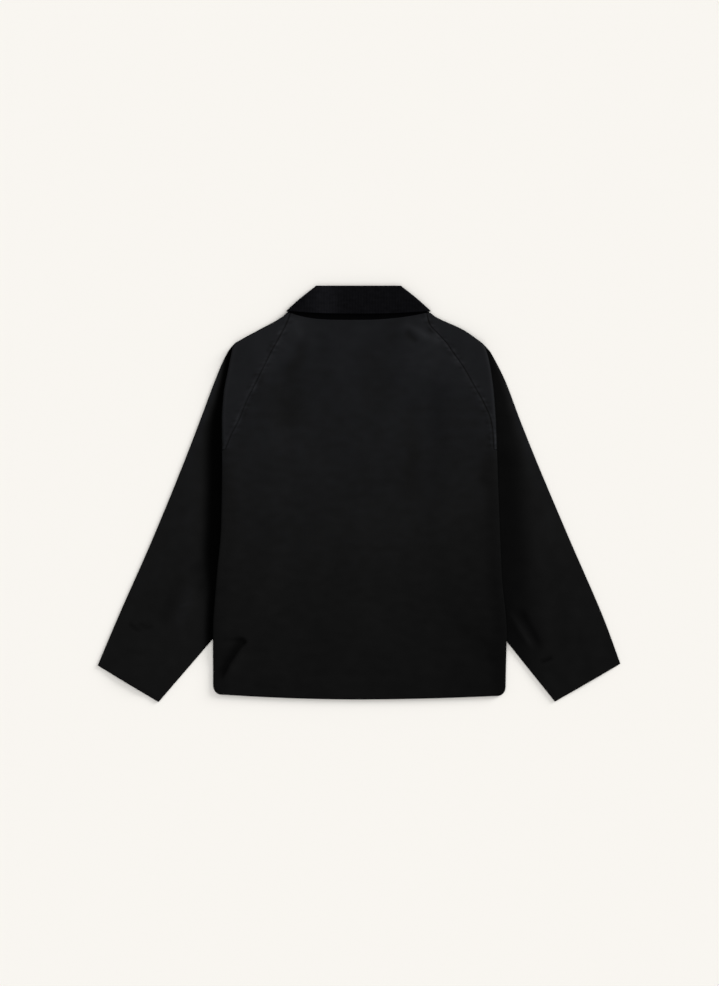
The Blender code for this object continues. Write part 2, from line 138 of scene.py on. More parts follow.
# outlines seen from above, measured on the photo
bodySide = bothSides([
    (-0.3390, 0.2490, 0.2520),
    (-0.2400, 0.2492, 0.2535),
    (-0.1450, 0.2430, 0.2455),
    (-0.0530, 0.2352, 0.2415),
    (0.0750, 0.2335, 0.2368),
    (0.1250, 0.2338, 0.2350),
    (0.1690, 0.2310, 0.2318),
    (0.2100, 0.2235, 0.2265),
    (0.2420, 0.2168, 0.2195),
    (0.2550, 0.2132, 0.2138),
])
sleeveOuter = bothSides([
    (-0.2962, 0.4472, 0.4500),
    (-0.2172, 0.4138, 0.4210),
    (-0.0804, 0.3535, 0.3620),
    (0.0564, 0.2975, 0.3042),
    (0.1249, 0.2712, 0.2768),
    (0.1933, 0.2455, 0.2508),
    (0.2275, 0.2312, 0.2338),
    (0.2420, 0.2235, 0.2256),
    (0.2532, 0.2150, 0.2152),
    (0.2620, 0.2012, 0.2040),
    (0.2788, 0.1708, 0.1795),
    (0.3028, 0.1285, 0.1295),
    (0.3080, 0.1235, 0.1235),
])
sleeveInner = bothSides([
    (-0.3612, 0.3452, 0.3396),
    (-0.2550, 0.2540, 0.2545),
    (-0.2000, 0.2080, 0.2110),
    (-0.1350, 0.1880, 0.1900),
    (-0.0150, 0.1840, 0.1860),
    (0.0750, 0.1860, 0.1860),
    (0.1250, 0.1870, 0.1870),
    (0.1550, 0.1890, 0.1890),
    (0.1850, 0.1930, 0.1930),
    (0.2050, 0.2000, 0.2000),
    (0.2300, 0.2120, 0.2120),
    (0.2532, 0.2160, 0.2160),
])
backRaglan = bothSides([
    (0.0750, 0.2280, 0.2312),
    (0.1000, 0.2180, 0.2298),
    (0.1250, 0.2050, 0.2260),
    (0.1550, 0.1930, 0.2135),
    (0.1850, 0.1780, 0.1965),
    (0.2150, 0.1630, 0.1795),
    (0.2420, 0.1495, 0.1605),
    (0.2555, 0.1420, 0.1515),
    (0.2710, 0.1335, 0.1375),
    (0.2900, 0.1235, 0.1210),
    (0.3080, 0.1165, 0.1165),
])
frontRaglan = bothSides([
    (0.0750, 0.2280, 0.2312),
    (0.1250, 0.1960, 0.2020),
    (0.1850, 0.1590, 0.1640),
    (0.2420, 0.1210, 0.1240),
    (0.2710, 0.1010, 0.1010),
])
sideLift = curve([
    (-0.3000, 0.0),
    (-0.2480, 0.0047),
    (0.0100, 0.0047),
    (0.0550, 0.0068),
    (0.0750, 4 * pitch),
    (0.2490, 4 * pitch),
    (0.2710, 0.0055),
    (0.3080, pitch),
])
sideSpread = curve([
    (-0.3000, 0.0050),
    (-0.2480, 0.0040),
    (0.0100, 0.0040),
    (0.0550, 0.0036),
    (0.0750, pitch),
    (0.2490, pitch),
    (0.2710, 0.0040),
    (0.3080, cloth["bodySpread"]),
])


def bodyEdge(side, y):  # the body's side, which turns in a quarter circle to the hem's corner
    turn = np.clip((cloth["hemY"] + cloth["cornerHeight"] - y) / cloth["cornerHeight"], 0, 1)
    return bodySide(side, y) - cloth["cornerWidth"] * (1 - np.sqrt(1 - turn * turn * 0.99))


# how far the back neck seam lies below its ends, as a share, from -1 at the left to 1 at the right
def neckDip(across):
    power = np.where(np.asarray(across) < 0, *cloth["neckBend"])
    return 1 - np.abs(across) ** power


def overSleeve(x, y):
    inner = sleeveInner(x, y) - cloth["sideMargin"]
    return smooth((np.abs(x) - inner + cloth["sideRamp"]) / cloth["sideRamp"])


def frontLevel(x, y):
    middle = pitch * rise(y, *cloth["collarRamp"])
    return floorLevel + lerp(middle, sideLift(y), overSleeve(x, y))


def backLevel(x, y):
    spread = lerp(cloth["bodySpread"], sideSpread(y), overSleeve(x, y) ** 3)
    return frontLevel(x, y) + spread


rimAngles = (45, 0, -45)
rimReach = 0.9  # of half the wall


# one closed sheet from grids of points on its middle surface, with a rounded rim
def shell(name, patches, wall, material):
    verts = []
    faces = []
    for grid in patches:
        grid = np.asarray(grid, dtype=float)
        start = sum(len(v) for v in verts)
        rows, cols = grid.shape[:2]
        verts.append(grid.reshape(-1, 3))
        index = start + np.arange(rows * cols).reshape(rows, cols)
        quads = np.stack([index[:-1, :-1], index[:-1, 1:], index[1:, 1:], index[1:, :-1]], axis=-1)
        faces.append(quads.reshape(-1, 4))
    verts = np.concatenate(verts)
    faces = np.concatenate(faces)
    _, first, inverse = np.unique(np.round(verts, 6), axis=0, return_index=True, return_inverse=True)
    verts = verts[first]
    faces = inverse.reshape(-1)[faces]
    # degenerate corners become triangles
    polygons = []
    for quad in faces.tolist():
        ring = [v for k, v in enumerate(quad) if v != quad[k - 1]]
        if len(set(ring)) > 2:
            polygons.append(ring)
    normals = np.zeros_like(verts)
    centres = np.zeros_like(verts)
    counts = np.zeros(len(verts))
    edges = {}
    for ring in polygons:
        points = verts[ring]
        area = np.zeros(3)
        for k in range(1, len(ring) - 1):
            area += np.cross(points[k] - points[0], points[k + 1] - points[0])
        for v in ring:
            normals[v] += area
            centres[v] += points.mean(0)
            counts[v] += 1
        for a, b in zip(ring, ring[1:] + ring[:1]):
            if (b, a) in edges:
                del edges[b, a]
            else:
                edges[a, b] = True
    length = np.linalg.norm(normals, axis=1)
    normals /= np.maximum(length, 1e-12)[:, None]
    centres /= np.maximum(counts, 1)[:, None]
    count = len(verts)
    allVerts = [verts + normals * wall / 2, verts - normals * wall / 2]
    allFaces = list(polygons)
    allFaces += [[v + count for v in reversed(ring)] for ring in polygons]
    rimVerts = sorted({v for edge in edges for v in edge})
    out = verts - centres
    out -= normals * np.sum(out * normals, axis=1)[:, None]
    out /= np.maximum(np.linalg.norm(out, axis=1), 1e-12)[:, None]
    rimIndex = {}
    extra = []
    for v in rimVerts:
        rimIndex[v] = 2 * count + len(extra)
        for angle in rimAngles:
            reach = wall / 2 * math.cos(math.radians(angle)) * rimReach
            up = wall / 2 * math.sin(math.radians(angle))
            extra.append(verts[v] + out[v] * reach + normals[v] * up)
    for a, b in edges:
        left = [a, rimIndex[a], rimIndex[a] + 1, rimIndex[a] + 2, a + count]
        right = [b, rimIndex[b], rimIndex[b] + 1, rimIndex[b] + 2, b + count]
        for k in range(len(rimAngles) + 1):
            allFaces.append([right[k], left[k], left[k + 1], right[k + 1]])
    points = np.concatenate(allVerts + [np.array(extra).reshape(-1, 3)])
    mesh = bpy.data.meshes.new(name)
    mesh.from_pydata(points.tolist(), [], allFaces)
    mesh.validate()
    mesh.shade_smooth()
    mesh.materials.append(material)
    obj = bpy.data.objects.new(name, mesh)
    bpy.context.scene.collection.objects.link(obj)
    return obj


# a trough or ridge along a path, with its widths to the left and right of it
def crease(path, width, height, fadeIn=0.3, fadeOut=0.3):
    return dict(path=path, width=width, height=height, fadeIn=fadeIn, fadeOut=fadeOut)


# height of all creases at the points: soft troughs (negative) and ridges, each along its own line
def bumps(x, y, creases):
    total = np.zeros_like(x)
    for one in creases:
        path = np.array(one["path"])
        best = np.full(x.shape, 1e9)
        along = np.zeros(x.shape)
        signed = np.zeros(x.shape)
        lengths = np.linalg.norm(np.diff(path, axis=0), axis=1)
        ends = np.concatenate(([0.0], np.cumsum(lengths)))
        for k in range(len(path) - 1):
            d = path[k + 1] - path[k]
            t = np.clip(((x - path[k][0]) * d[0] + (y - path[k][1]) * d[1]) / lengths[k] ** 2, 0, 1)
            dx = x - path[k][0] - t * d[0]
            dy = y - path[k][1] - t * d[1]
            distance = np.hypot(dx, dy)
            nearer = distance < best
            best = np.where(nearer, distance, best)
            along = np.where(nearer, (ends[k] + t * lengths[k]) / ends[-1], along)
            signed = np.where(nearer, np.sign(d[0] * dy - d[1] * dx), signed)
        taper = smooth(along / one["fadeIn"]) * smooth((1 - along) / one["fadeOut"])
        width = np.where(signed > 0, *one["width"])
        total += one["height"] * taper * np.exp(-((best / width) ** 2))
    return total


def finishPiece(obj, nodes):
    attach(obj, "root")
    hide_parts(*nodes)


# points on an upright arc, by degrees from straight up towards outward
def arc(centre, outward, radius, start, end, shares):
    angles = np.radians(lerp(start, end, np.asarray(shares)))[:, None]
    up = np.array((0.0, 0.0, 1.0))
    return np.asarray(centre) + np.asarray(outward) * radius * np.sin(angles) + up * radius * np.cos(angles)


rollShares = np.array((0.0, 0.18, 0.36, 0.54, 0.72, 0.88, 1.0))
rollSteps = len(rollShares) - 1


# where back and front turn to meet at an edge: the turn's middle in plan and its radius
def seamTurn(side, x, y):
    near = smooth(1 - abs(y - cloth["armpitGapY"]) / cloth["armpitReach"])
    gap = lerp(cloth["sideSeamGap"], cloth["armpitGap"], near)
    near = x - side * cloth["wall"]
    radius = (backLevel(near, y) - frontLevel(near, y) - gap) / 2
    middle = x - side * (cloth["wall"] / 2 + radius)
    radius = (backLevel(middle, y) - frontLevel(middle, y) - gap) / 2
    return np.array((float(middle), float(y), 0.0)), float(radius)


def hemHeight(x, y):
    height = np.where(np.asarray(x) < 0, *cloth["hemRise"])
    return y + height * (x / cloth["hemHalfWidth"]) ** 2 * (1 - rise(y, cloth["hemY"], cloth["hemFade"]))


seamFlush = np.array((0.0030, 0.0023, 0.0017, 0.0012, 0.0007, 0.0003, 0.0))


# the last points of a body row: rolled over at the side seam, and flat along the raglan seam above it
def bodyEnd(side, y, isBack):
    level, raglan = (backLevel, backRaglan) if isBack else (frontLevel, frontRaglan)
    x = side * float(bodyEdge(side, y))
    at = hemHeight(x, y)
    centre, radius = seamTurn(side, x, at)
    centre[2] = level(centre[0], at) + (-radius if isBack else radius)
    rolled = arc(centre, (side, 0, 0), radius, 0 if isBack else 180, 90, rollShares)
    seam = side * float(raglan(side, max(y, cloth["armpitY"])) - cloth["seamGap"] / 2)
    flat = np.zeros((rollSteps + 1, 3))
    flat[:, 0] = seam - side * seamFlush
    flat[:, 1] = y
    flat[:, 2] = level(flat[:, 0], flat[:, 1])
    return lerp(rolled, flat, rise(y, *cloth["seamOpens"]))


def speckle(x, y, seed):
    return np.array([noise.noise(Vector((a, b, seed))) for a, b in zip(x, y)])


def roughness(points, size, height, seed):  # slow unevenness of a hand-laid cloth
    flat = points.reshape(-1, 3)
    lift = [noise.noise(Vector((p[0] / size, p[1] / size, seed))) for p in flat]
    return height * np.array(lift).reshape(points.shape[:-1])


backLook = {
    "steps": 150,
    "rowPitch": 0.0034,
    "seamDip": 0.0007,
    "seamDipWidth": 0.0013,
    "edgeDrop": (0.0012, 0.009),  # the depth and the reach of the rounding beside the side seams
    "hemDrop": (0.0010, 0.006),
    "smoothMargin": 0.012,  # folds die out this far from an edge
    "uneven": (0.075, 0.0009),
    "creases": [
        # the hooked crease by the lower left corner, crisp on its right, and the fainter ones round it
        crease([(-0.191, -0.2525), (-0.206, -0.268), (-0.2215, -0.2915), (-0.231, -0.312), (-0.236, -0.326)],
               width=(0.0022, 0.012), height=-0.0026, fadeIn=0.05, fadeOut=0.25),
        crease([(-0.189, -0.2525), (-0.208, -0.2500), (-0.228, -0.2515), (-0.240, -0.258)],
               width=(0.006, 0.0030), height=-0.0012, fadeIn=0.2, fadeOut=0.6),
        crease([(-0.190, -0.268), (-0.208, -0.288), (-0.221, -0.316)], width=(0.012, 0.004), height=0.0007),
        crease([(-0.186, -0.327), (-0.165, -0.331), (-0.134, -0.331)],
               width=(0.004, 0.006), height=-0.0006),
        crease([(0.206, -0.235), (0.222, -0.268), (0.230, -0.305)], width=(0.010, 0.008), height=-0.0007),
        crease([(0.232, 0.075), (0.214, 0.040), (0.208, 0.000)], width=(0.012, 0.010), height=-0.0006),
        # broad shallow hollows below the left shoulder and beside the right shoulder blade
        crease([(-0.124, 0.240), (-0.128, 0.170), (-0.112, 0.090)], width=(0.034, 0.026), height=-0.0008),
        crease([(0.092, 0.180), (0.091, 0.070), (0.084, -0.040)], width=(0.014, 0.012), height=-0.0005),
        # light streaks and a dimple under the collar's right half, and a softer one under its left
        crease([(0.066, 0.294), (0.101, 0.277), (0.118, 0.266), (0.146, 0.258)],
               width=(0.006, 0.009), height=0.0016, fadeIn=0.4, fadeOut=0.2),
        crease([(0.076, 0.279), (0.090, 0.268), (0.104, 0.255)], width=(0.007, 0.007), height=-0.0012),
        crease([(-0.112, 0.302), (-0.107, 0.285), (-0.096, 0.262)], width=(0.008, 0.008), height=0.0008),
        crease([(-0.090, 0.262), (-0.104, 0.230), (-0.126, 0.196)], width=(0.012, 0.012), height=-0.0008),
    ],
}


def backGrid():
    look = backLook
    hemRows = [-0.353, -0.3527, -0.3519, -0.3505, -0.3485, -0.346, -0.343, -0.339]
    body = list(np.arange(-0.3356, 0.070, look["rowPitch"])) + [0.0715, 0.0724, 0.0733, 0.0742]
    neck = list(np.arange(0.0750, 0.308, look["rowPitch"])) + [0.308]
    rows = []
    for y in hemRows + body + neck:
        ends = {side: bodyEnd(side, y, True) for side in (-1, 1)}
        left, right = ends[-1][0], ends[1][0]
        share = np.arange(1, look["steps"]) / look["steps"]
        inner = np.zeros((len(share), 3))
        inner[:, 0] = lerp(left[0], right[0], share)
        inner[:, 1] = hemHeight(inner[:, 0], y)
        inner[:, 2] = backLevel(inner[:, 0], inner[:, 1])
        row = np.concatenate((ends[-1][::-1], inner, ends[1]))
        if y > cloth["neckDropStartY"]:
            across = (row[:, 0] - row[0, 0]) / (row[-1, 0] - row[0, 0])
            length = cloth["neckTopY"] - cloth["neckDropStartY"]
            drop = cloth["neckDrop"] * rise(y, cloth["neckDropStartY"], length)
            row[:, 1] -= drop * neckDip(2 * across - 1)
        rows.append(row)
    grid = np.array(rows)
    x, y = grid[..., 0], grid[..., 1]
    edge = np.minimum(np.abs(x - grid[:, :1, 0]), np.abs(x - grid[:, -1:, 0]))
    upper = smooth((y - 0.066) / 0.012)
    grid[..., 2] -= upper * look["seamDip"] * np.exp(-((edge / look["seamDipWidth"]) ** 2))
    depth, reach = look["edgeDrop"]
    grid[..., 2] -= (1 - upper) * depth * np.clip(1 - edge / reach, 0, 1) ** 2
    hem = y - grid[0, :, 1][None, :]
    depth, reach = look["hemDrop"]
    grid[..., 2] -= depth * np.clip(1 - hem / reach, 0, 1) ** 2
    inside = smooth(edge / look["smoothMargin"]) * smooth(hem / look["smoothMargin"])
    grid[..., 2] += inside * (bumps(x, y, look["creases"]) + roughness(grid, *look["uneven"], 3.0))
    return grid


sleeveLook = {
    "columns": {"back": (26, 8, 44), "front": (12, 6, 22)},  # cap, each turn, and the flat run
    "lowerRows": {"back": 110, "front": 50},
    "rowPitch": 0.0035,
    "tuckY": 0.230,  # the tuck is whole up to here and has gone at the shoulder
    "tuckKeys": [(0.241, 135, 0.0075), (0.249, 90, 0.0012)],  # y, degrees that it turns, spare cloth
    "shoulderY": 0.2560,
    "capEnd": (0.70, 0.97),
    "capEndReach": 0.030,
    "loftMargin": 0.020,
    "loftRamp": 0.040,
    "uneven": (0.060, 0.0006),
    "cuffDrop": (0.0006, 0.005),
    "creases": {
        "left": [
            crease([(-0.302, -0.135), (-0.320, -0.180), (-0.341, -0.233)],
                   width=(0.012, 0.012), height=-0.0006),
            crease([(-0.398, -0.221), (-0.384, -0.232), (-0.370, -0.239)],
                   width=(0.004, 0.003), height=-0.0011),
            crease([(-0.381, -0.220), (-0.364, -0.231), (-0.348, -0.228)],
                   width=(0.003, 0.004), height=-0.0009),
            crease([(-0.403, -0.268), (-0.377, -0.275), (-0.357, -0.272)],
                   width=(0.004, 0.004), height=-0.0004),
            crease([(-0.312, -0.197), (-0.299, -0.192), (-0.286, -0.188)],
                   width=(0.003, 0.003), height=0.0007),
            crease([(-0.285, -0.150), (-0.300, -0.200), (-0.312, -0.250)],
                   width=(0.014, 0.014), height=0.0006),
            crease([(-0.246, 0.100), (-0.250, 0.000), (-0.262, -0.120), (-0.262, -0.220)],
                   width=(0.012, 0.016), height=-0.0012, fadeIn=0.1, fadeOut=0.2),
        ],
        "right": [
            crease([(0.256, -0.198), (0.276, -0.231), (0.302, -0.274)],
                   width=(0.004, 0.006), height=0.0022),
            crease([(0.272, -0.190), (0.292, -0.227), (0.317, -0.274)],
                   width=(0.006, 0.007), height=-0.0016),
            crease([(0.308, -0.291), (0.322, -0.287), (0.335, -0.281)],
                   width=(0.004, 0.003), height=-0.0015),
            crease([(0.310, -0.296), (0.325, -0.292), (0.338, -0.286)],
                   width=(0.003, 0.004), height=0.0006),
            crease([(0.250, 0.090), (0.262, -0.010), (0.272, -0.120), (0.280, -0.200)],
                   width=(0.016, 0.022), height=-0.0009, fadeIn=0.1, fadeOut=0.3),
        ],
    },
}
slants = [
    (0.075, 0.075),
    (0.038, 0.030),
    (-0.020, -0.045),
    (-0.085, -0.125),
    (-0.145, -0.202),
    (-0.196, -0.262),
    (-0.244, -0.312),
    (-0.292, -0.357),
]
cuffDrop = {"left": (0.0030, 0.0008), "right": (0.0, 0.0)}


def sleeveLevel(side, x, y, outerX):
    start = np.maximum(bodySide(side, y), sleeveInner(side, y)) + sleeveLook["loftMargin"]
    across = np.abs(x)
    lofted = rise(across, start, sleeveLook["loftRamp"]) * fall(across, outerX, sleeveLook["loftRamp"])
    return floorLevel + pitch + cloth["loft"] * lofted


def sleeveHalf(side, isBack):  # the two grids of one half of a raglan sleeve, above and below the armpit
    look = sleeveLook
    half = "back" if isBack else "front"
    name = "left" if side < 0 else "right"
    capSteps, turnSteps, steps = look["columns"][half]
    wall = cloth["wall"]
    out = np.array((float(side), 0.0, 0.0))
    seamRadius = (pitch - cloth["sideSeamGap"]) / 2
    turnRadius = (1.5 * pitch, 0.5 * pitch) if isBack else (0.5 * pitch, 1.5 * pitch)
    capLevel = backLevel if isBack else frontLevel
    rollStart = 0 if isBack else 180
    turnShares = np.arange(turnSteps + 1) / turnSteps
    count = capSteps + 2 * turnSteps + steps + 2
    seamRise = cloth["sideSeamGap"] if isBack else 0.0

    def outerRoll(edge, across):
        centre = edge - across * (wall / 2 + seamRadius)
        centre[2] = floorLevel + seamRadius + seamRise
        return arc(centre, across, seamRadius, rollStart, 90, rollShares)

    def line(start, end, number, level):
        share = np.arange(number + 1)[:, None] / number
        points = np.zeros((number + 1, 3))
        points[:, :2] = lerp(np.asarray(start)[None, :2], np.asarray(end)[None, :2], share)
        points[:, 2] = level(points[:, 0], points[:, 1])
        return points

    def flatRun(start, end):
        if isBack:
            return line(start, end, steps, lambda x, y: sleeveLevel(side, x, y, abs(end[0])))
        return line(start, end, steps, lambda x, y: np.full_like(x, floorLevel))

    def seamX(y):
        if isBack:
            return side * float(backRaglan(side, y) + cloth["seamGap"] / 2)
        if y > 0.2710:
            share = (cloth["neckTopY"] - y) / cloth["frontNeckDrop"]
            return side * cloth["neckHalfWidth"] * math.sqrt(1 - share * share)
        return side * float(frontRaglan(side, y) + cloth["seamGap"] / 2)

    def shoulderRow(y):
        centre, radius = seamTurn(side, side * float(sleeveOuter(side, y)), y)
        centre[2] = capLevel(centre[0], y) + (-radius if isBack else radius)
        i = np.arange(count)
        capEnd = lerp(*look["capEnd"], smooth(1 - (y - look["shoulderY"]) / look["capEndReach"]))
        rest = lerp(capEnd, 1, (i - capSteps) / (count - capSteps))
        share = np.where(i < capSteps, i / capSteps * capEnd, rest)
        row = np.zeros((count, 3))
        row[:, 0] = lerp(seamX(y), centre[0], share)
        row[:, 1] = y
        row[:, 2] = capLevel(row[:, 0], row[:, 1])
        return np.concatenate((row, arc(centre, out, radius, rollStart, 90, rollShares)))

    def tuckRow(y, turned=180, spare=None):
        inner = np.array((side * float(sleeveInner(side, y)), y, 0.0))
        outer = np.array((side * float(sleeveOuter(side, y)), y, 0.0))
        roll = outerRoll(outer, out)
        sideTurn = np.array((side * (float(bodySide(side, y)) - wall / 2 - 1.5 * pitch), y, 0.0))
        sideTurn[2] = (backLevel(sideTurn[0], y) + frontLevel(sideTurn[0], y)) / 2 - pitch
        innerTurn = inner + out * (wall / 2 + 1.5 * pitch)
        innerTurn[2] = floorLevel + 1.5 * pitch
        if spare is not None:
            bend = math.radians(turned)
            straight = (sideTurn[2] - innerTurn[2] + 2 * pitch * math.cos(bend)) / math.sin(bend)
            innerTurn[0] = roll[0][0] - side * spare
            sideTurn[0] = innerTurn[0] - side * (2 * pitch * math.sin(bend) + straight * math.cos(bend))
        first = arc(sideTurn, out, turnRadius[0], 0, turned, turnShares)
        second = arc(innerTurn, -out, turnRadius[1], 180 - turned, 180, turnShares)
        cap = line((seamX(y), y), sideTurn, capSteps, capLevel)[:-1]
        middle = (first[-1:] + second[:1]) / 2
        return np.concatenate((cap, first, middle, second, flatRun(innerTurn, roll[0])[1:-1], roll))

    tuckY, shoulderY = look["tuckY"], look["shoulderY"]
    keys = [(tuckY, tuckRow(tuckY))]
    keys += [(y, tuckRow(y, turned, spare)) for y, turned, spare in look["tuckKeys"]]
    keys.append((shoulderY, shoulderRow(shoulderY)))
    rowPitch = look["rowPitch"] * (1 if isBack else 2)
    number = int((cloth["neckTopY"] - shoulderY) / rowPitch) + 2
    upper = [shoulderRow(y) for y in np.linspace(cloth["neckTopY"], shoulderY, number)][:-1]
    for (low, lowRow), (high, highRow) in reversed(list(zip(keys, keys[1:]))):
        number = int((high - low) / rowPitch) + 1
        upper += [lerp(highRow, lowRow, k / number) for k in range(number)]
    number = int((tuckY - cloth["armpitY"]) / rowPitch) + 2
    upper += [tuckRow(y) for y in np.linspace(tuckY, cloth["armpitY"], number)]
    upper = np.array(upper)

    cornerIndex = capSteps + 2 * turnSteps + 2
    corner = np.repeat(upper[-1][cornerIndex][None], rollSteps + 1, 0)
    top = np.concatenate((corner, upper[-1][cornerIndex + 1 :]))

    def lowerRow(s):
        outerDrop, innerDrop = (v * smooth((s - 4) / 3) for v in cuffDrop[name])
        outerY = np.interp(s, range(len(slants)), [a for a, b in slants]) - outerDrop
        innerY = np.interp(s, range(len(slants)), [b for a, b in slants]) - innerDrop
        outer = np.array((side * float(sleeveOuter(side, outerY)), outerY, 0.0))
        inner = np.array((side * float(sleeveInner(side, innerY)), innerY, 0.0))
        across = (outer - inner) / np.linalg.norm(outer - inner)
        roll = outerRoll(outer, across)
        start = inner + across * (wall / 2 + seamRadius)
        start[2] = floorLevel + seamRadius + seamRise
        innerRoll = arc(start, -across, seamRadius, rollStart, 90, rollShares)[::-1]
        return np.concatenate((innerRoll, flatRun(innerRoll[-1], roll[0])[1:-1], roll))

    lower = [top]
    firstSlant = 0.4
    first = lowerRow(firstSlant)
    lower += [lerp(top, first, k / 5) for k in range(1, 5)]
    number = look["lowerRows"][half]
    slantSpan = len(slants) - 1 - firstSlant
    lower += [lowerRow(firstSlant + slantSpan * k / number) for k in range(number + 1)]
    last = lower[-1]
    along = (last - lower[-2]) / np.linalg.norm(last - lower[-2], axis=1)[:, None]
    lower = np.array(lower)
    for step in (0.0022, 0.0010):
        lower = np.insert(lower, len(lower) - 1, last - along * step, axis=0)

    if isBack:
        seam = upper[:, :1, 0]
        edge = np.abs(upper[..., 0] - seam)
        dip = backLook["seamDip"] * np.exp(-((edge / backLook["seamDipWidth"]) ** 2))
        upper[:, :capSteps, 2] -= dip[:, :capSteps]
        for grid in (upper, lower):
            x, y = grid[..., 0], grid[..., 1]
            lift = bumps(x, y, look["creases"][name]) + roughness(grid, *look["uneven"], 9.0 + side)
            inside = fall(np.abs(x), sleeveOuter(side, y), 0.014) * fall(y, 0.225, 0.03)
            grid[..., 2] += lift * inside
        cuff = np.linalg.norm(lower[:, :, :2] - lower[-1:, :, :2], axis=2)
        depth, reach = look["cuffDrop"]
        lower[..., 2] -= depth * np.clip(1 - cuff / reach, 0, 1) ** 2
    return upper, lower


frontLook = {
    "steps": 44,
    "lapHalfWidth": 0.015,
    "lapRaise": 0.0034,
    "lapRamp": (-0.055, 0.035),
    "neckClearance": 0.0012,
}


def frontGrid(side, inner):
    look = frontLook

    def level(x, y):
        raised = rise(side * -x, *look["lapRamp"]) if inner else 0.0
        return frontLevel(x, y) + look["lapRaise"] * raised

    steps = look["steps"]
    necklineY = cloth["neckTopY"] - cloth["frontNeckDrop"] - look["neckClearance"]
    ys = list(np.linspace(cloth["hemY"], cloth["seamOpens"][0], 60))
    ys += list(np.linspace(cloth["armpitY"], necklineY, 24))
    ys += list(np.linspace(necklineY + 0.0006, 0.2675, 14))
    rows = []
    for y in ys:
        end = bodyEnd(side, y, False)
        start = -side * look["lapHalfWidth"]
        if y > necklineY:
            share = min(max((cloth["neckTopY"] - y) / cloth["frontNeckDrop"], 0.0), 1.0)
            start = side * (cloth["neckHalfWidth"] * math.sqrt(1 - share * share) + look["neckClearance"])
        share = np.arange(steps) / steps
        row = np.zeros((steps, 3))
        row[:, 0] = lerp(start, end[0][0], share)
        row[:, 1] = hemHeight(row[:, 0], y)
        row[:, 2] = level(row[:, 0], row[:, 1])
        rows.append(np.concatenate((row, end)))
    return np.array(rows)


collarLook = {
    "foldY": 0.3530,
    "foldHalfWidth": 0.0688,
    "edgeY": 0.3072,
    "edgeRise": 0.0042,
    "frontDrop": 0.0690,
    "point": 0.0120,
    "frontX": 0.0200,
    "clearance": 0.0012,
    "standOff": 0.0016,
    "puff": 0.0012,
    "sideBow": 0.0014,  # the leaf's sides bow out this far
    "edgeBend": 2.4,
    "seamDrop": 0.0030,  # from the middle of the fold's turn down to the seam with the stand
    "crowding": 0.85,
    "columns": (28, 10, 24),  # each half's back, its turn at the side and its front
    "turnSteps": 10,
    "leafSteps": 26,
    "standRows": 15,
}


def collarColumns():
    look = collarLook
    width = cloth["neckHalfWidth"]
    top = cloth["neckTopY"] + look["clearance"]
    backSteps, sideSteps, frontSteps = look["columns"]
    halves = []
    for side in (-1, 1):
        half = []
        for i in range(backSteps):
            share = (i / backSteps) ** look["crowding"]
            x = side * width * share
            neck = (x, top - cloth["neckDrop"] * float(neckDip(side * share)), 0.0)
            fold = (side * look["foldHalfWidth"] * share, look["foldY"], 0.0)
            edge = (x, look["edgeY"] + look["edgeRise"] * share ** look["edgeBend"], 0.0)
            half.append((neck, fold, edge, (0.0, 0.0, 1.0)))
        for i in range(sideSteps + 1):
            angle = math.radians(180 / sideSteps * i)
            outward = (side * math.sin(angle), 0.0, math.cos(angle))
            half.append((
                (side * width, top, 0.0),
                (side * look["foldHalfWidth"], look["foldY"], 0.0),
                (side * width, look["edgeY"] + look["edgeRise"], 0.0),
                outward,
            ))
        for i in range(1, frontSteps + 1):
            share = i / frontSteps
            angle = math.radians(90 * share)
            x = side * width * lerp(1, look["frontX"] / width, 1 - math.cos(angle))
            depth = math.sqrt(max(0.0, 1 - (x / width) ** 2))
            neckY = top - (cloth["frontNeckDrop"] - 2 * look["clearance"]) * depth
            foldX = side * lerp(look["foldHalfWidth"], look["frontX"], share)
            lowered = float(smooth(share))
            foldY = look["foldY"] - look["frontDrop"] * lowered
            edgeY = look["edgeY"] + look["edgeRise"] - (look["frontDrop"] + look["point"]) * lowered
            half.append(((x, neckY, 0.0), (foldX, foldY, 0.0), (x, edgeY, 0.0), (0.0, 0.0, -1.0)))
        halves.append(half)
    return list(reversed(halves[0])) + halves[1][1:]


def collarGrid(isLeaf):
    look = collarLook
    low = floorLevel + pitch
    high = low + cloth["bodySpread"]
    radius = (high - low) / 2
    seamY = -look["seamDrop"]
    turnSteps, leafSteps = look["turnSteps"], look["leafSteps"]
    rows = []
    number = turnSteps + 1 + leafSteps if isLeaf else look["standRows"]
    for k in range(number):
        row = []
        for neck, fold, edge, outward in collarColumns():
            neck, fold, edge, outward = (np.array(v) for v in (neck, fold, edge, outward))
            ring = np.array((0, 0, (low + high) / 2)) + outward * radius
            if not isLeaf:
                top = fold + np.array((0, seamY - 2 * cloth["seamGap"], 0))
                point = lerp(neck, top, k / (number - 1)) + ring
            elif k == 0:
                point = fold + np.array((0, seamY, 0)) + ring
            elif k <= turnSteps + 1:
                angle = math.pi * (k - 1) / turnSteps
                point = fold + np.array((0, math.sin(angle) * pitch / 2, 0)) + ring
                point = point + outward * (1 - math.cos(angle)) * pitch / 2
            else:
                share = (k - turnSteps - 1) / (leafSteps - 1)
                facing = max(0.0, outward[2])
                off = pitch + look["standOff"] * share * share * facing
                off += look["puff"] * math.sin(math.pi * min(1.0, share * 1.05)) * facing
                point = lerp(fold, edge, share) + ring + outward * off
                point[0] += look["sideBow"] * math.sin(math.pi * share) * np.clip(point[0] / 0.07, -1, 1)
            row.append(point)
        rows.append(row)
    return np.array(rows)


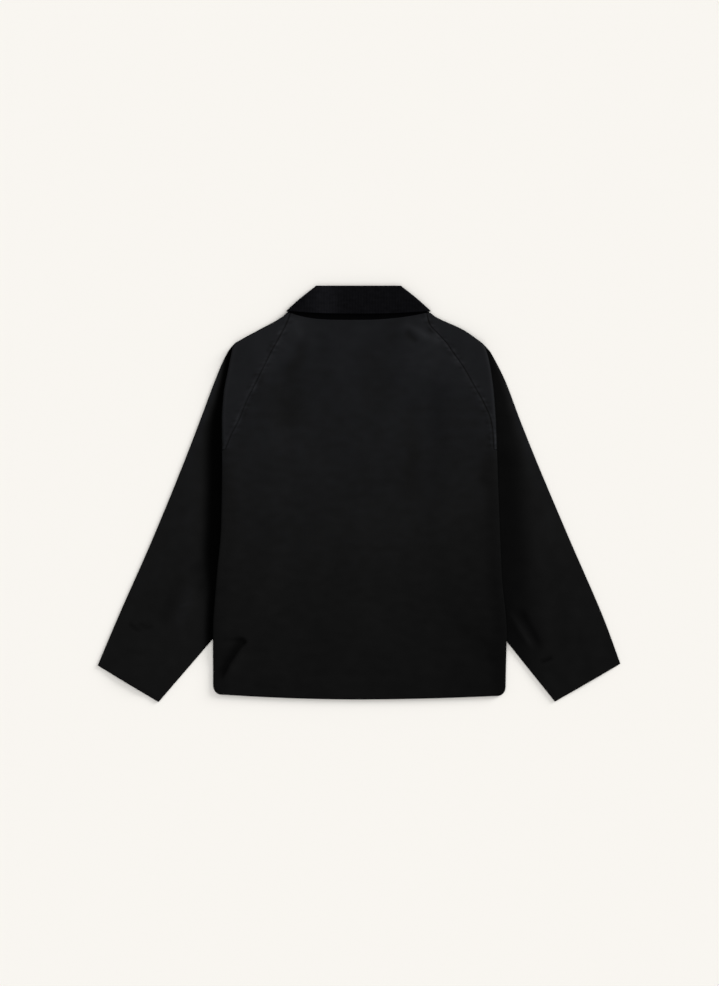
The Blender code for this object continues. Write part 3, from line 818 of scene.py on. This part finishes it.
def group(name, inputs, outputs):  # an empty node group whose sockets are (name, kind, value)
    tree = bpy.data.node_groups.new(name, "ShaderNodeTree")
    for socketName, kind, value in inputs:
        socket = tree.interface.new_socket(socketName, in_out="INPUT", socket_type=kind)
        socket.default_value = value
    for socketName, kind in outputs:
        tree.interface.new_socket(socketName, in_out="OUTPUT", socket_type=kind)
    return tree, tree.nodes.new("NodeGroupInput"), tree.nodes.new("NodeGroupOutput")


# a node with its settings; links maps its input sockets to an output socket or a constant
def node(tree, kind, links=None, **settings):
    made = tree.nodes.new(kind)
    for key, value in settings.items():
        setattr(made, key, value)
    for key, value in (links or {}).items():
        if isinstance(value, bpy.types.NodeSocket):
            tree.links.new(value, made.inputs[key])
        else:
            made.inputs[key].default_value = value
    return made


def mathNode(tree, operation, *values, clamp=False):
    made = node(tree, "ShaderNodeMath", dict(enumerate(values)), operation=operation, use_clamp=clamp)
    return made.outputs[0]


def objectPlace(tree):
    return node(tree, "ShaderNodeTexCoord").outputs["Object"]


def noiseNode(tree, place, scale, detail, roughness=0.5):
    links = {"Vector": place, "Scale": scale, "Detail": detail, "Roughness": roughness}
    return node(tree, "ShaderNodeTexNoise", links).outputs["Fac"]


def wovenGroup():  # fine diagonal weave: thread height and a slub value
    tree, given, out = group("wovenRelief", [("Pitch", "NodeSocketFloat", 0.0011)],
                             [("Height", "NodeSocketFloat"), ("Slub", "NodeSocketFloat")])
    place = objectPlace(tree)
    scale = mathNode(tree, "DIVIDE", 0.31, given.outputs["Pitch"])
    waves = []
    for turn in (0.9, -0.55):
        turned = node(tree, "ShaderNodeMapping", {"Vector": place, "Rotation": (0.0, 0.0, turn)}).outputs[0]
        wave = node(tree, "ShaderNodeTexWave", {
            "Vector": turned, "Scale": scale, "Distortion": 0.6, "Detail": 1.0, "Detail Scale": 1.2,
        })
        waves.append(wave.outputs["Fac"])
    tree.links.new(mathNode(tree, "MULTIPLY", waves[0], waves[1]), out.inputs["Height"])
    tree.links.new(noiseNode(tree, place, 900.0, 2.0), out.inputs["Slub"])
    return tree


def ribbedGroup():  # raised cords with a cut pile: cord height and pile value
    tree, given, out = group("ribbedRelief", [("Pitch", "NodeSocketFloat", 0.0026)],
                             [("Height", "NodeSocketFloat"), ("Pile", "NodeSocketFloat")])
    place = objectPlace(tree)
    scale = mathNode(tree, "DIVIDE", 0.31, given.outputs["Pitch"])
    wave = node(tree, "ShaderNodeTexWave", {
        "Vector": place, "Scale": scale, "Distortion": 0.5, "Detail": 1.0, "Detail Scale": 1.0,
    }, bands_direction="X")
    tree.links.new(mathNode(tree, "POWER", wave.outputs["Fac"], 0.6), out.inputs["Height"])
    tree.links.new(noiseNode(tree, place, 1500.0, 3.0), out.inputs["Pile"])
    return tree


def mottleGroup():  # slow colour variation, with light wear
    tree, given, out = group("slowMottle", [("Amount", "NodeSocketFloat", 0.15)],
                             [("Factor", "NodeSocketFloat")])
    place = objectPlace(tree)
    wide = noiseNode(tree, place, 9.0, 3.0, 0.55)
    narrow = noiseNode(tree, place, 60.0, 2.0)
    both = mathNode(tree, "MULTIPLY_ADD", wide, 0.7, mathNode(tree, "MULTIPLY", narrow, 0.3))
    centred = mathNode(tree, "SUBTRACT", both, 0.5)
    scaled = mathNode(tree, "MULTIPLY", centred, given.outputs["Amount"])
    tree.links.new(mathNode(tree, "ADD", scaled, 1.0), out.inputs["Factor"])
    return tree


woven = wovenGroup()
ribbed = ribbedGroup()
mottle = mottleGroup()


sheenRoughness = 0.45
sheenTint = (0.80, 0.88, 1.0, 1.0)


def clothMaterial(name, look, relief, fine):
    material = bpy.data.materials.new(name)
    material.use_nodes = True
    tree = material.node_tree
    shader = tree.nodes["Principled BSDF"]
    surface = node(tree, "ShaderNodeGroup", node_tree=relief)
    surface.inputs["Pitch"].default_value = look["threadPitch"]
    worn = node(tree, "ShaderNodeGroup", node_tree=mottle)
    worn.inputs["Amount"].default_value = look["mottle"]
    # the attribute read here carries painted light and shade with random tone, and it multiplies the colour
    paintedLightAndTone = node(tree, "ShaderNodeAttribute", attribute_name="paintedLightAndTone").outputs["Fac"]
    shade = mathNode(tree, "MULTIPLY", paintedLightAndTone, worn.outputs["Factor"])
    contrast = look["threadContrast"]
    thread = mathNode(tree, "MULTIPLY_ADD", surface.outputs["Height"], contrast, 1.0 - contrast / 2)
    shade = mathNode(tree, "MULTIPLY", shade, thread)
    colour = node(tree, "ShaderNodeMix", {
        "Factor": 1.0, 6: (*look["colour"], 1.0),
    }, data_type="RGBA", blend_type="MULTIPLY")
    # where the painted light is brightest the colour turns cooler: a painted cool highlight
    cool = mathNode(tree, "MULTIPLY", mathNode(tree, "SUBTRACT", paintedLightAndTone, 0.75), 2.2, clamp=True)
    parts = []
    for shift in look["coolHighlightTint"]:
        tinted = mathNode(tree, "MULTIPLY_ADD", cool, shift - 1.0, 1.0)
        parts.append(mathNode(tree, "MULTIPLY", shade, tinted))
    grey = node(tree, "ShaderNodeCombineColor", dict(enumerate(parts)))
    tree.links.new(grey.outputs[0], colour.inputs[7])
    tree.links.new(colour.outputs[2], shader.inputs["Base Color"])
    spread = look["roughSpread"]
    rough = mathNode(tree, "MULTIPLY_ADD", surface.outputs[fine], spread, look["roughness"] - spread / 2)
    tree.links.new(rough, shader.inputs["Roughness"])
    shader.inputs["Specular IOR Level"].default_value = look["specular"]
    shader.inputs["Sheen Weight"].default_value = look["sheen"]
    shader.inputs["Sheen Roughness"].default_value = sheenRoughness
    shader.inputs["Sheen Tint"].default_value = sheenTint
    coarse = node(tree, "ShaderNodeBump", {
        "Height": surface.outputs["Height"], "Strength": look["bump"], "Distance": look["threadHeight"],
    })
    pile = node(tree, "ShaderNodeBump", {
        "Height": surface.outputs[fine], "Strength": look["bump"] * 0.5, "Distance": 0.0001,
        "Normal": coarse.outputs[0],
    })
    tree.links.new(pile.outputs[0], shader.inputs["Normal"])
    return material


coatLook = {
    "colour": (0.0083, 0.0083, 0.0083),
    "coolHighlightTint": (0.955, 0.985, 1.09),
    "threadPitch": 0.0011,
    "threadHeight": 0.0001,
    "threadContrast": 0.18,
    "mottle": 0.55,
    "roughness": 0.62,
    "roughSpread": 0.12,
    "specular": 0.010,
    "sheen": 0.0015,
    "bump": 0.5,
}
collarClothLook = {
    "colour": (0.0030, 0.0030, 0.0036),
    "coolHighlightTint": (1.0, 1.0, 1.0),
    "threadPitch": 0.0026,
    "threadHeight": 0.0005,
    "threadContrast": 0.5,
    "mottle": 0.6,
    "roughness": 0.85,
    "roughSpread": 0.10,
    "specular": 0.012,
    "sheen": 0.004,
    "bump": 0.5,
}
coatCloth = clothMaterial("coatCloth", coatLook, woven, "Slub")
collarCloth = clothMaterial("collarCloth", collarClothLook, ribbed, "Pile")
print("cloth materials made")


studLook = {
    "colour": (0.020, 0.020, 0.021),
    "metallic": 0.9,
    "roughness": 0.38,
    "roughSpread": 0.2,
    "wear": (0.8, 1.3),  # how dark and how light the grain makes the colour
    "grainScale": 900.0,
    "grainDepth": 0.00003,
}


def studMaterial():
    material = bpy.data.materials.new("studMetal")
    material.use_nodes = True
    tree = material.node_tree
    shader = tree.nodes["Principled BSDF"]
    place = objectPlace(tree)
    grain = noiseNode(tree, place, studLook["grainScale"], 3.0)
    worn = node(tree, "ShaderNodeValToRGB", {"Fac": grain})
    for element, share in zip(worn.color_ramp.elements, studLook["wear"]):
        element.color = (*[v * share for v in studLook["colour"]], 1.0)
    tree.links.new(worn.outputs[0], shader.inputs["Base Color"])
    spread = studLook["roughSpread"]
    rough = mathNode(tree, "MULTIPLY_ADD", grain, spread, studLook["roughness"] - spread / 2)
    tree.links.new(rough, shader.inputs["Roughness"])
    shader.inputs["Metallic"].default_value = studLook["metallic"]
    relief = node(tree, "ShaderNodeBump", {"Height": grain, "Distance": studLook["grainDepth"]})
    tree.links.new(relief.outputs[0], shader.inputs["Normal"])
    return material


studMetal = studMaterial()
for name, obj in frame["nodes"].items():
    if name.startswith("press_stud"):
        obj.data.materials.clear()
        obj.data.materials.append(studMetal)
print("press studs dressed")


def setPaintedLightAndTone(obj, paintedLightAndTone):  # painted light and shade, with random tone, at each point, as an attribute that its material reads
    count = len(obj.data.vertices)
    places = np.zeros(count * 3)
    obj.data.vertices.foreach_get("co", places)
    places = places.reshape(-1, 3)
    values = np.clip(paintedLightAndTone(places[:, 0], places[:, 1], places[:, 2]), 0.02, 2.5)
    attribute = obj.data.attributes.new("paintedLightAndTone", "FLOAT", "POINT")
    attribute.data.foreach_set("value", values.astype(np.float32))


# painted light and shade on the cloth: a pair with a ramp holds where it starts and its length, in metres
seamShade = {
    "dark": 0.45,
    "darkWidth": 0.0009,
    "sway": 0.0006,
    "faintLeft": 0.45,
    "faintRamp": (0.13, 0.12),
    "pressedHighlight": (0.18, 0.60),  # painted highlight beside the seam: even, and more where the cloth puckers
    "pressedPlace": (0.0034, 0.0013),  # distance from the seam, and width
    "puckerHighlight": 0.55,
    "puckerPlace": (0.005, 0.0055),
}


# a dark line in the seam, a painted highlight where the stitching presses the cloth, and painted highlights
# on the puckers beside it
def seamLines(x, y, distance):
    look = seamShade
    sway = speckle(y * 70, x * 9, 7.0)
    puckerHighlight = speckle(x * 70, y * 190, 5.0)
    clear = np.where(x < 0, lerp(look["faintLeft"], 1.0, rise(y, *look["faintRamp"])), 1.0)
    offset = np.abs(distance + look["sway"] * sway)
    line = -look["dark"] * clear * np.exp(-((offset / look["darkWidth"]) ** 2))
    even, puckered = look["pressedHighlight"]
    place, width = look["pressedPlace"]
    pressedHighlight = (even + puckered * np.clip(puckerHighlight, 0, 1)) * np.exp(-(((offset - place) / width) ** 2))
    place, width = look["puckerPlace"]
    wide = np.exp(-(((offset - place) / width) ** 2))
    return 1 + line + pressedHighlight + look["puckerHighlight"] * puckerHighlight * wide


creaseShade = {"strength": 0.6, "fullHeight": 0.0022}


# painted shade in the troughs and painted highlight on the ridges
def creasePaintedShade(x, y, creases):
    return 1 + creaseShade["strength"] * np.clip(bumps(x, y, creases) / creaseShade["fullHeight"], -1, 1)


heightRamp = (-0.36, 0.66)  # painted light, growing from the hem to the collar
backShade = {
    "light": (0.60, 1.20),  # painted light at the hem and at the collar
    # painted shade towards the lower right
    "rightDim": 0.18,
    "rightRamps": ((0.04, 0.18), (0.16, 0.35)),  # across, and down
    # painted highlight on the shoulders
    "shoulders": 0.22,
    "shoulderRamps": ((0.05, 0.08), (0.15, 0.10)),
    # painted shade beside the side edges, lower down
    "sides": (0.14, 0.26),  # left and right
    "sideRamps": ((0.034, 0.022), (0.09, 0.08)),
    "fine": 0.13,
    "wide": (0.05, 0.14),
    "wideRamp": (0.02, 0.2),
}


# painted light and shade on the back, with random tone, seam lines and crease shading
def backPaintedLightAndTone(x, y, z):
    look = backShade
    paintedLightAndTone = lerp(*look["light"], rise(y, *heightRamp))
    across, down = look["rightRamps"]
    paintedLightAndTone = paintedLightAndTone * (1 - look["rightDim"] * rise(x, *across) * fall(y, *down))
    across, up = look["shoulderRamps"]
    paintedLightAndTone = paintedLightAndTone * (1 + look["shoulders"] * rise(np.abs(x), *across) * rise(y, *up))
    across, down = look["sideRamps"]
    inside = bodySide(x, y) - np.abs(x)
    sides = np.where(x < 0, *look["sides"]) * fall(inside, *across) * fall(y, *down)
    fine = speckle(x * 45, y * 80, 11.0)
    wide = lerp(*look["wide"], rise(y, *look["wideRamp"])) * speckle(x * 16, y * 13, 14.0)
    paintedLightAndTone = paintedLightAndTone * (1 - sides) * (1 + look["fine"] * fine + wide)
    seam = np.where(y > cloth["armpitY"], backRaglan(x, y) - np.abs(x), 1.0)
    return paintedLightAndTone * seamLines(x, y, np.abs(seam)) * creasePaintedShade(x, y, backLook["creases"])


sleeveShade = {
    "cap": (0.60, 1.34),  # painted light on the cap above the body, at the hem's height and at the collar's
    # painted highlight along the body's edge
    "capEdgeHighlight": (0.2, 0.003),
    "lowerRamp": (-0.08, 0.10),
    "upperRamp": (0.09, 0.10),
    "leftStart": (0.0145, 0.006, 0.004),  # the painted shadow that the body casts on the left sleeve, in the middle, below and above
    "leftLength": (0.024, 0.014, 0.010),
    "left": (0.86, 0.72, 0.3),  # painted light at y = 0 and this far down
    # darkest point of the painted shadow beside the body
    "leftShadow": 0.02,
    "leftEdge": 0.45,
    # the right sleeve: painted light, and painted shade where it slopes down beside the body
    "right": (0.82, 0.64, 0.25),
    "rightRamp": (0.002, 0.075),
    "rightShade": 0.45,
    "rightEdge": 0.95,
    # painted light grows towards the sleeves' outer edges and upwards
    "edgeRamps": ((0.45, 0.5), (-0.02, 0.18)),  # share of the width, and height
    "fine": 0.12,
}


# painted light and shade on the sleeves' tops, with random tone and crease shading
def sleevePaintedLightAndTone(x, y, z):
    look = sleeveShade
    onTop = smooth((bodySide(x, y) - np.abs(x) + 0.001) / 0.002) * rise(y, 0.070, 0.004)
    cap = lerp(*look["cap"], rise(y, *heightRamp)) * seamLines(x, y, np.abs(np.abs(x) - backRaglan(x, y)))
    out = np.abs(x) - bodySide(x, y)
    strength, width = look["capEdgeHighlight"]
    cap = cap * (1 + strength * np.exp(-(((out + width) / width) ** 2)))
    name = "left" if x.mean() < 0 else "right"
    lower = fall(y, *look["lowerRamp"])
    upper = rise(y, *look["upperRamp"])
    start, length = (lerp(lerp(a, b, lower), c, upper) for a, b, c in (look["leftStart"], look["leftLength"]))
    # painted shadow cast by the body on the left sleeve
    leftShade = rise(out, start, length)
    across = np.clip(out / np.maximum(sleeveOuter(x, y) - bodySide(x, y), 0.01), 0, 1)
    ramp, up = look["edgeRamps"]
    nearEdge = rise(across, *ramp) * rise(y, *up)
    light, low, reach = look["left"]
    left = lerp(light, low, smooth(-y / reach)) * lerp(look["leftShadow"], 1.0, leftShade)
    left = left * (1 + look["leftEdge"] * nearEdge)
    light, low, reach = look["right"]
    right = lerp(light, low, smooth(-y / reach)) * lerp(look["rightShade"], 1.0, rise(out, *look["rightRamp"]))
    right = right * (1 + look["rightEdge"] * nearEdge)
    fine = speckle(x * 50, y * 50, 12.0)
    under = np.where(x < 0, left, right) * creasePaintedShade(x, y, sleeveLook["creases"][name])
    return lerp(under * (1 + look["fine"] * fine), cap, onTop)


# painted highlight on the collar's left half, with random tone
collarShade = {"paintedHighlight": 0.95, "patchPlace": (-0.058, 0.022), "fine": 0.35}
hiddenTone = 0.8
# the stand is darkened to a painted shade under the collar's fall
standPaintedShade = 0.25


def collarHighlightAndTone(x, y, z):
    place, width = collarShade["patchPlace"]
    paintedHighlight = collarShade["paintedHighlight"] * np.exp(-(((x - place) / width) ** 2))
    return (1.0 + paintedHighlight) * (1 + collarShade["fine"] * speckle(x * 110, y * 220, 13.0))


def evenTone(value):
    return lambda x, y, z: np.full_like(x, value)


back = shell("backVisual", [backGrid()], cloth["wall"], coatCloth)
setPaintedLightAndTone(back, backPaintedLightAndTone)
finishPiece(back, ["back"])
for side, name in ((-1, "left"), (1, "right")):
    for isBack, half in ((True, "back"), (False, "front")):
        piece = shell(f"sleeve{half.capitalize()}{name.capitalize()}Visual", sleeveHalf(side, isBack),
                      cloth["wall"], coatCloth)
        setPaintedLightAndTone(piece, sleevePaintedLightAndTone if isBack else evenTone(hiddenTone))
        finishPiece(piece, [f"sleeve_{half}_{name}"])
    front = shell(f"front{name.capitalize()}Visual", [frontGrid(side, side < 0)], cloth["wall"], coatCloth)
    setPaintedLightAndTone(front, evenTone(hiddenTone))
    finishPiece(front, [f"front_{name}"])
fall = shell("collarFallVisual", [collarGrid(True)], cloth["wall"], collarCloth)
setPaintedLightAndTone(fall, collarHighlightAndTone)
finishPiece(fall, ["collar_fall"])
stand = shell("collarStandVisual", [collarGrid(False)], cloth["wall"], collarCloth)
setPaintedLightAndTone(stand, evenTone(standPaintedShade))
finishPiece(stand, ["collar_stand"])
for obj in bpy.data.objects:
    if obj.type == "MESH" and obj.name.endswith("Visual"):
        area = sum(p.area for p in obj.data.polygons) / 2
        print("piece", obj.name, "half surface", round(area, 4), "faces", len(obj.data.polygons))

stageLook = {
    "floor": (0.911, 0.888, 0.845),
    "floorReach": 40.0,
    "floorHeight": -0.0003,
    "world": 0.40,
    "topSun": 1.187,
    "topSunAngle": 80,
    "sun": 2.39,
    "sunAngle": 26,
    "sunTilt": 70,
    "sunTurn": 36,
    "lens": 100,
    "cameraPlace": (0.0017, 0.0, 4.695),
}


def buildStage():
    mesh = bpy.data.meshes.new("floor")
    reach = stageLook["floorReach"]
    corners = [(-reach, -reach, 0), (reach, -reach, 0), (reach, reach, 0), (-reach, reach, 0)]
    mesh.from_pydata(corners, [], [(0, 1, 2, 3)])
    floor = bpy.data.objects.new("floor", mesh)
    floor.location.z = stageLook["floorHeight"]
    bpy.context.scene.collection.objects.link(floor)
    material = bpy.data.materials.new("floorPaper")
    material.use_nodes = True
    shader = material.node_tree.nodes["Principled BSDF"]
    shader.inputs["Base Color"].default_value = (*stageLook["floor"], 1)
    shader.inputs["Roughness"].default_value = 1.0
    shader.inputs["Specular IOR Level"].default_value = 0.0
    mesh.materials.append(material)
    world = bpy.data.worlds.new("studio")
    world.use_nodes = True
    world.node_tree.nodes["Background"].inputs["Color"].default_value = (1, 1, 1, 1)
    world.node_tree.nodes["Background"].inputs["Strength"].default_value = stageLook["world"]
    bpy.context.scene.world = world
    lights = [("key", "sun", stageLook["sunTilt"], stageLook["sunTurn"]), ("top", "topSun", 0, 0)]
    for name, size, tiltDegrees, turnDegrees in lights:
        sun = bpy.data.lights.new(name, "SUN")
        sun.energy = stageLook[size]
        sun.angle = math.radians(stageLook[size + "Angle"])
        lamp = bpy.data.objects.new(name, sun)
        tilt, turn = math.radians(tiltDegrees), math.radians(turnDegrees)
        towards = Vector((math.sin(tilt) * math.cos(turn), math.sin(tilt) * math.sin(turn), math.cos(tilt)))
        lamp.rotation_euler = towards.to_track_quat("Z", "Y").to_euler()
        bpy.context.scene.collection.objects.link(lamp)
    camera = bpy.data.cameras.new("camera")
    camera.lens = stageLook["lens"]
    camera.sensor_width = 36
    camera.clip_end = 50
    view = bpy.data.objects.new("camera", camera)
    view.location = stageLook["cameraPlace"]
    bpy.context.scene.collection.objects.link(view)
    bpy.context.scene.camera = view
    bpy.context.scene.view_settings.view_transform = "Standard"


buildStage()
print("stage done")
